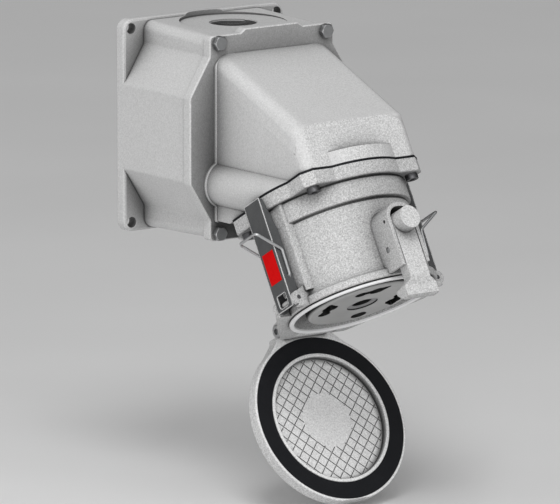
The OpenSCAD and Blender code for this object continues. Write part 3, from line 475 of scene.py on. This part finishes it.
def steel_material(name, tone, rough, grain=0.5 * MM, stretch=(1, 1, 1)):
    """Plain steel with fine scratches and a little stain."""
    n = Nodes(name)
    scratch = n.noise(grain, detail=4.0, rough=0.7, stretch=stretch)
    stain = n.noise(6 * MM, detail=3.0, rough=0.6)
    base = linear(*tone)
    dark = tuple(c * STEEL_STAIN for c in base[:3]) + (1.0,)
    n.set(Base_Color=n.patches(base, dark, stain, share=0.5, span=(0.35, 0.8)),
          Roughness=n.ramp(scratch, *rough),
          Normal=n.bump(scratch, strength=0.15, depth=0.05 * MM, edge=0.3 * MM),
          Metallic=1.0)
    return n.material


def moulding_material(name, low, high, rough, gloss=0.5):
    """Moulded plastic with flow marks and a soft sheen, and painted shade, near black, on faces
    that do not look along the socket's axis, such as the walls of its bores.
    """
    n = Nodes(name)
    grain = n.noise(0.6 * MM)
    flow = n.noise(18 * MM, detail=3.0, rough=0.55, stretch=(1, 1, 0.5))
    base = n.ramp(flow, linear(*low), linear(*high))
    # Painted shade, near black, on faces off the socket's axis
    n.set(Base_Color=n.shade(base, n.facing(SOCKET_WAY, BORE_SHADE_DARK, 1.0, BORE_WALLS)),
          Roughness=n.ramp(flow, *rough),
          Normal=n.bump(grain, strength=0.08, depth=0.05 * MM, edge=0.6 * MM),
          Specular_IOR_Level=gloss)
    return n.material


def dark_sheet_material(name):
    """Dark grey coated sheet, rubbed bright along its outward folds, which also carry a painted
    highlight.
    """
    n = Nodes(name)
    grain = n.noise(0.7 * MM, detail=3.0, rough=0.6)
    rub = n.noise(8 * MM, detail=4.0, rough=0.7, stretch=(1, 1, 0.25))
    base = n.ramp(grain, linear(66, 67, 68), linear(82, 83, 84))
    base = n.patches(base, grey(112), rub, share=0.25, span=(0.5, 0.8))
    # Folds lightened: partly rubbed wear, partly a painted highlight
    fold_rub_highlight = n.math("MULTIPLY", n.edge(FOLD_RUB_HIGHLIGHT_EDGE), n.outward(FOLD_RUB_HIGHLIGHT_EDGE))
    n.set(Base_Color=n.mix(fold_rub_highlight, base, grey(FOLD_RUB_HIGHLIGHT_TONE)),
          Roughness=n.ramp(rub, 0.42, 0.55),
          Normal=n.bump(grain, strength=0.12, depth=0.06 * MM, edge=0.7 * MM),
          Metallic=0.15)
    return n.material


def rubber_material(name):
    """Matt black seal with a faint bloom."""
    n = Nodes(name)
    grain = n.noise(0.9 * MM, detail=3.0, rough=0.6)
    bloom = n.noise(25 * MM, detail=3.0, rough=0.6)
    base = n.ramp(grain, linear(14, 15, 18), linear(22, 23, 27))
    n.set(Base_Color=n.patches(base, linear(34, 35, 39), bloom, share=0.3, span=(0.5, 0.8)),
          Roughness=n.ramp(bloom, 0.55, 0.70),
          Normal=n.bump(grain, strength=0.2, depth=0.08 * MM, edge=0.5 * MM),
          Specular_IOR_Level=0.25)
    return n.material


def brass_material(name):
    """Turned brass with a dull film."""
    n = Nodes(name)
    turning = n.noise(0.4 * MM, stretch=(1, 1, 6))
    film = n.noise(5 * MM, detail=3.0)
    n.set(Base_Color=n.ramp(film, linear(206, 170, 92), linear(158, 122, 60), (0.3, 0.75)),
          Roughness=n.ramp(film, 0.25, 0.42),
          Normal=n.bump(turning, strength=0.1, depth=0.04 * MM, edge=0.3 * MM),
          Metallic=1.0)
    return n.material


def red_film_material(name):
    """Plain red film, rubbed darker in places."""
    n = Nodes(name)
    grain = n.noise(0.5 * MM)
    rub = n.noise(7 * MM, detail=4.0, rough=0.7)
    base = n.ramp(grain, linear(200, 0, 2), linear(214, 2, 4))
    n.set(Base_Color=n.patches(base, linear(164, 0, 2), rub, share=0.35, span=(0.55, 0.85)),
          Roughness=n.ramp(rub, 0.50, 0.62),
          Normal=n.bump(grain, strength=0.05, depth=0.03 * MM),
          Specular_IOR_Level=0.08)
    return n.material


def in_socket(x, f, down):
    """World place of a point given across, in front of and down the socket's axis."""
    across = Vector(SOCKET_POINT) + Vector((x, 0, 0))
    return across + Vector(SOCKET_FRONT) * f + Vector(SOCKET_WAY) * down


def arc(centre, radius, start, end, steps):
    """Points of a flat arc, angles in degrees."""
    angles = [math.radians(start + (end - start) * i / steps) for i in range(steps + 1)]
    return [(centre[0] + radius * math.cos(a), centre[1] + radius * math.sin(a)) for a in angles]


def skin(rings, ends):
    """Mesh of a tube through rings of points.

    Its ends meet in a loop, or are closed by flat faces or by strips between a ring's halves.
    """
    mesh = bmesh.new()
    rows = [[mesh.verts.new(p) for p in ring] for ring in rings]
    count = len(rows[0])
    for low, high in zip(rows, rows[1:] + rows[:1] if ends == "loop" else rows[1:]):
        for i in range(count):
            j = (i + 1) % count
            mesh.faces.new((low[i], low[j], high[j], high[i]))
    if ends == "flat":
        mesh.faces.new(rows[0])
        mesh.faces.new(reversed(rows[-1]))
    if ends == "strips":
        for row in (rows[0], rows[-1]):
            for i in range(count // 2 - 1):
                mesh.faces.new((row[i], row[i + 1], row[count - 2 - i], row[count - 1 - i]))
    return mesh


def add_piece(name, mesh, slot, body="housing", smooth=SMOOTH):
    """Finish a bmesh as a piece that rides on a body."""
    bmesh.ops.recalc_face_normals(mesh, faces=mesh.faces)
    data = bpy.data.meshes.new(name)
    mesh.to_mesh(data)
    mesh.free()
    data.polygons.foreach_set("use_smooth", [True] * len(data.polygons))
    data.set_sharp_from_angle(angle=smooth)
    data.materials.append(materials[slot])
    piece = bpy.data.objects.new(name, data)
    scene.collection.objects.link(piece)
    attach(piece, body)
    return piece


def add_thread():
    """Thread of the cable entry: one ridge wound up its bore, cut square at both ends."""
    entry = next(m for m in frame["record"]["mounts"] if m["name"] == "cable_entry")
    middle = Vector(entry["pos_m"])
    root = entry["dims"]["r_mm"] * MM + THREAD_SEAT
    crest = entry["dims"]["r_mm"] * MM - THREAD_DEPTH
    rise = entry["dims"]["length_mm"] * MM - THREAD_PITCH
    steps = round(rise / THREAD_PITCH * THREAD_STEPS)
    half = THREAD_PITCH / 2 - THREAD_SEAT
    profile = ((root, -half), (crest, 0), (root, half))
    rings = []
    for i in range(steps + 1):
        turn = math.tau * i / THREAD_STEPS
        out = Vector((math.cos(turn), math.sin(turn), 0))
        height = middle + Vector((0, 0, rise * (i / steps - 0.5)))
        rings.append([height + out * r + Vector((0, 0, z)) for r, z in profile])
    add_piece("entry_thread", skin(rings, "flat"), "casting")


def add_snout_edge(name, side):
    """Corner between the snout's slope and a side, drawn out to a smaller radius than the solid's.

    u runs in from the side and v down from the slope.
    """
    wide, tight = SOLID_EDGE_R, EDGE_R
    outer = [(wide + EDGE_LAP, EDGE_SINK), (wide - EDGE_FLUSH, 0.0)]
    outer += arc((tight, tight), tight, 270, 180, ARC_STEPS)
    outer += [(0.0, wide - EDGE_FLUSH), (EDGE_SINK, wide + EDGE_LAP)]
    inner = arc((wide, wide), wide - EDGE_BURIED, 180, 270, len(outer) - 1)
    down = Vector((0, -math.cos(SLOPE), -math.sin(SLOPE)))
    sunk = Vector((0, math.sin(SLOPE), -math.cos(SLOPE)))
    front = Vector(SOCKET_FRONT)
    start, end = [], []
    for i, (u, v) in enumerate(outer + inner):
        point = Vector((side * (SNOUT_X - u), -PLATE_FRONT, SNOUT_TOP)) + sunk * v
        start.append(point + down * ((v * math.sin(SLOPE) - EDGE_ROOT) / math.cos(SLOPE)))
        corner = NOSE_R - u
        cut = NOSE_R - math.sqrt(NOSE_R ** 2 - corner ** 2) if corner > 0 else 0.0
        ahead = NOSE_F - cut - (point - Vector(SOCKET_POINT)).dot(front)
        hidden = i == 0 or i >= len(outer) - 1
        end.append(point + down * (ahead / down.dot(front) - (EDGE_SHORT if hidden else 0.0)))
    add_piece(name, skin([start, end], "strips"), "casting", smooth=EDGE_SMOOTH)


def box_distance(x, z, half_x, low, high, radius):
    """Signed distance to a rectangle with rounded corners."""
    dx = abs(x) - half_x + radius
    dz = abs(z - (low + high) / 2) - (high - low) / 2 + radius
    return math.hypot(max(dx, 0), max(dz, 0)) + min(max(dx, dz), 0) - radius


def snout_distance(x, z):
    """Signed distance to the outline of the snout and its two pods on the cover's plate."""
    corner = EDGE_R if z > 0 else HEEL_R
    body = box_distance(x, z, SNOUT_X, SNOUT_HEEL, SNOUT_TOP, corner)
    pod = math.hypot(abs(x) - POD_X, z - SOCKET_POINT[2]) - POD_R
    return min(body, pod)


def flange_distance(x, f):
    """Signed distance to the outline of the socket flange: a square with cut corners and a disc."""
    cut = (abs(x) + abs(f) - 2 * FLANGE_X + FLANGE_CUT) / math.sqrt(2)
    return min(max(abs(x) - FLANGE_X, abs(f) - FLANGE_X, cut), math.hypot(x, f) - FLANGE_R)


def level(distance, centre, turn, offset):
    """Point at a distance from an outline, on the ray from a centre at an angle."""
    way = math.cos(turn), math.sin(turn)
    near, far = 0.0, LEVEL_REACH
    for _ in range(LEVEL_HALVINGS):
        middle = (near + far) / 2
        if distance(centre[0] + way[0] * middle, centre[1] + way[1] * middle) < offset:
            near = middle
        else:
            far = middle
    return centre[0] + way[0] * near, centre[1] + way[1] * near


def add_snout_step():
    """Low rounded step round the base of the snout and its pods."""
    profile = [(-STEP_ROOT, -STEP_SINK), (STEP_OUT, -STEP_SINK)]
    profile += arc((STEP_OUT - STEP_R, STEP_H - STEP_R), STEP_R, 0, 90, STEP_ARC_STEPS)
    profile += [(-STEP_ROOT, STEP_H)]
    centre = (0.0, SOCKET_POINT[2])
    low, high = STEP_FADE
    rings = []
    for i in range(LOOP_STEPS):
        turn = math.tau * i / LOOP_STEPS
        share = (high - level(snout_distance, centre, turn, 0.0)[1]) / (high - low)
        share = min(max(share, 0.0), 1.0)
        ring = []
        for out, rise in profile:
            x, z = level(snout_distance, centre, turn, (out + STEP_ROOT) * share - STEP_ROOT)
            ring.append((x, -PLATE_FRONT - rise * share, z))
        rings.append(ring)
    add_piece("snout_step", skin(rings, "loop"), "casting")


def add_gasket_edge():
    """Rounded outer edge of the flange gasket."""
    swell, soft = GASKET_OUT, GASKET_ROUND
    profile = [(-GASKET_IN, 0.0), (soft, -swell), (swell, -soft),
               (swell, GASKET_T + soft), (soft, GASKET_T + swell), (-GASKET_IN, GASKET_T)]
    rings = []
    for i in range(LOOP_STEPS):
        ring = []
        for out, down in profile:
            x, f = level(flange_distance, (0.0, 0.0), math.tau * i / LOOP_STEPS, out)
            ring.append(in_socket(x, f, down))
        rings.append(ring)
    add_piece("gasket_edge", skin(rings, "loop"), "black_rubber")


def add_knuckle(name, side):
    """Casting round a lever's pin, seen through the lever's window."""
    outline = arc((PIN_X, PIN_DOWN), KNUCKLE_R, *KNUCKLE_ARC, ARC_STEPS) + list(KNUCKLE_ROOT)
    rings = [[in_socket(side * x, f, down) for x, down in outline]
             for f in (-KNUCKLE_HALF, KNUCKLE_HALF)]
    add_piece(name, skin(rings, "flat"), "casting")


def add_hinge_screw():
    """Socket-head screw in place of the plain hinge bolt: its head stands out of the ear."""
    low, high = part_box("hinge_bolt")
    y, z = (low.y + high.y) / 2, (low.z + high.z) / 2
    head_r = (high.y - low.y) / 2
    face, seat, end = low.x - HEAD_OUT, low.x + HEAD_SEAT, high.x
    sections = ((face + HEX_DEPTH, HEX_AF / 2, True), (face, HEX_AF / 2, True),
                (face, head_r - SCREW_CHAMFER, False), (face + SCREW_CHAMFER, head_r, False),
                (seat, head_r, False), (seat, SHANK_R, False),
                (end - SCREW_CHAMFER, SHANK_R, False), (end, SHANK_R - SCREW_CHAMFER, False))
    rings = []
    for x, radius, hexagon in sections:
        ring = []
        for i in range(SCREW_STEPS):
            turn = math.tau * i / SCREW_STEPS
            lean = turn % HEX_WEDGE - HEX_WEDGE / 2
            reach = radius / math.cos(lean) if hexagon else radius
            ring.append((x, y + reach * math.cos(turn), z + reach * math.sin(turn)))
        rings.append(ring)
    body = body_of(nodes["hinge_bolt"])[0]
    screw = add_piece("hinge_screw", skin(rings, "flat"), "steel", body)
    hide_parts("hinge_bolt")


def add_coil():
    """Spring with closed ends in place of the plain one."""
    rise = COIL_HEAD - COIL_FOOT - 2 * COIL_WIRE_R
    closed = COIL_CLOSED * 2 * COIL_WIRE_R
    pitch = (rise - 2 * closed) / (COIL_TURNS - 2 * COIL_CLOSED)
    rings = []
    for i in range(round(COIL_TURNS * COIL_STEPS) + 1):
        turns = i / COIL_STEPS
        start, end = min(turns, COIL_CLOSED), max(turns - COIL_TURNS + COIL_CLOSED, 0.0)
        height = 2 * COIL_WIRE_R * (start + end) + pitch * (turns - start - end)
        across, along = math.cos(math.tau * turns), math.sin(math.tau * turns)
        ring = []
        for j in range(COIL_SIDES):
            turn = math.tau * j / COIL_SIDES
            reach = COIL_R + COIL_WIRE_R * math.cos(turn)
            front = COIL_FOOT + COIL_WIRE_R + height + COIL_WIRE_R * math.sin(turn)
            ring.append(in_socket(reach * across, front, COIL_DOWN + reach * along))
        rings.append(ring)
    body = body_of(nodes["pawl_spring"])[0]
    coil = add_piece("pawl_coil", skin(rings, "strips"), "steel", body, COIL_SMOOTH)
    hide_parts("pawl_spring")
    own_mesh(coil)


def view_frame():
    """Camera axes of the photograph: right, up and back."""
    back = Vector((
        math.sin(VIEW_AZIMUTH) * math.cos(VIEW_ELEVATION),
        -math.cos(VIEW_AZIMUTH) * math.cos(VIEW_ELEVATION),
        math.sin(VIEW_ELEVATION)))
    right = Vector((0, 0, 1)).cross(back).normalized()
    return right, back.cross(right), back


def add_camera():
    """Camera that sees the object as the photograph does."""
    right, up, back = view_frame()
    data = bpy.data.cameras.new("camera")
    data.sensor_width = SENSOR
    data.lens = SENSOR * VIEW_DISTANCE / (PHOTO_W * METRES_PER_PIXEL)
    data.clip_start, data.clip_end = VIEW_CLIP
    camera = bpy.data.objects.new("camera", data)
    turn = Matrix((right, up, back)).transposed().to_4x4()
    camera.matrix_world = Matrix.Translation(VIEW_TARGET + back * VIEW_DISTANCE) @ turn
    scene.collection.objects.link(camera)
    scene.camera = camera


def add_world():
    """Studio dome: bright round the upper front and left, dark on the far side."""
    world = bpy.data.worlds.new("world")
    world.use_nodes = True
    tree = world.node_tree
    way = tree.nodes.new("ShaderNodeTexCoord").outputs["Generated"]
    facing = tree.nodes.new("ShaderNodeVectorMath")
    facing.operation = "DOT_PRODUCT"
    facing.inputs[1].default_value = DOME_FRONT
    tree.links.new(way, facing.inputs[0])
    fade = tree.nodes.new("ShaderNodeValToRGB")
    fade.color_ramp.interpolation = "EASE"
    for element, (position, tone) in zip(fade.color_ramp.elements, DOME_FADE):
        element.position = position
        element.color = (tone, tone, tone, 1)
    tree.links.new(facing.outputs["Value"], fade.inputs["Fac"])
    background = tree.nodes["Background"]
    background.inputs["Strength"].default_value = DOME_STRENGTH
    tree.links.new(fade.outputs["Color"], background.inputs["Color"])
    scene.world = world


def add_stage():
    """Plain pale floor under the object."""
    mesh = bpy.data.meshes.new("floor")
    half, z = FLOOR_SIZE / 2, cad_box[0].z - FLOOR_DROP
    corners = ((-half, -half, z), (half, -half, z), (half, half, z), (-half, half, z))
    mesh.from_pydata(corners, [], [(0, 1, 2, 3)])
    floor = bpy.data.objects.new("floor", mesh)
    scene.collection.objects.link(floor)
    n = Nodes("floor")
    n.set(Base_Color=n.ramp(n.noise(FLOOR_CLOUD), *FLOOR_TONES), Roughness=FLOOR_ROUGH)
    mesh.materials.append(n.material)


def add_area(name, direction, distance, size, power):
    """Soft square lamp that looks at the object from a direction."""
    data = bpy.data.lights.new(name, "AREA")
    data.size = size
    data.energy = power
    lamp = bpy.data.objects.new(name, data)
    way = Vector(direction).normalized()
    lamp.location = VIEW_TARGET + way * distance
    lamp.rotation_mode = "QUATERNION"
    lamp.rotation_quaternion = way.to_track_quat("Z", "Y")
    scene.collection.objects.link(lamp)


materials = {name: casting_material(name, **look) for name, look in CASTINGS.items()}
materials |= {name: steel_material(name, **look) for name, look in STEELS.items()}
materials |= {name: moulding_material(name, **look) for name, look in MOULDINGS.items()}
materials["dark_sheet"] = dark_sheet_material("dark_sheet")
materials["black_rubber"] = rubber_material("black_rubber")
materials["brass"] = brass_material("brass")
materials["red_film"] = red_film_material("red_film")

finish_of = {s["node"]: s["material_slot"] for s in frame["record"]["subparts"]} | OTHER_FINISH
for node_name, obj in nodes.items():
    obj.data.materials.clear()
    obj.data.materials.append(materials[finish_of[node_name]])

add_thread()
add_snout_edge("snout_edge_left", -1)
add_snout_edge("snout_edge_right", 1)
add_snout_step()
add_gasket_edge()
add_knuckle("lever_knuckle_left", -1)
add_knuckle("lever_knuckle_right", 1)
add_hinge_screw()
add_coil()
add_camera()
add_world()
add_stage()
add_area("key", **KEY)
add_area("fill", **FILL)
scene.view_settings.view_transform = "Standard"
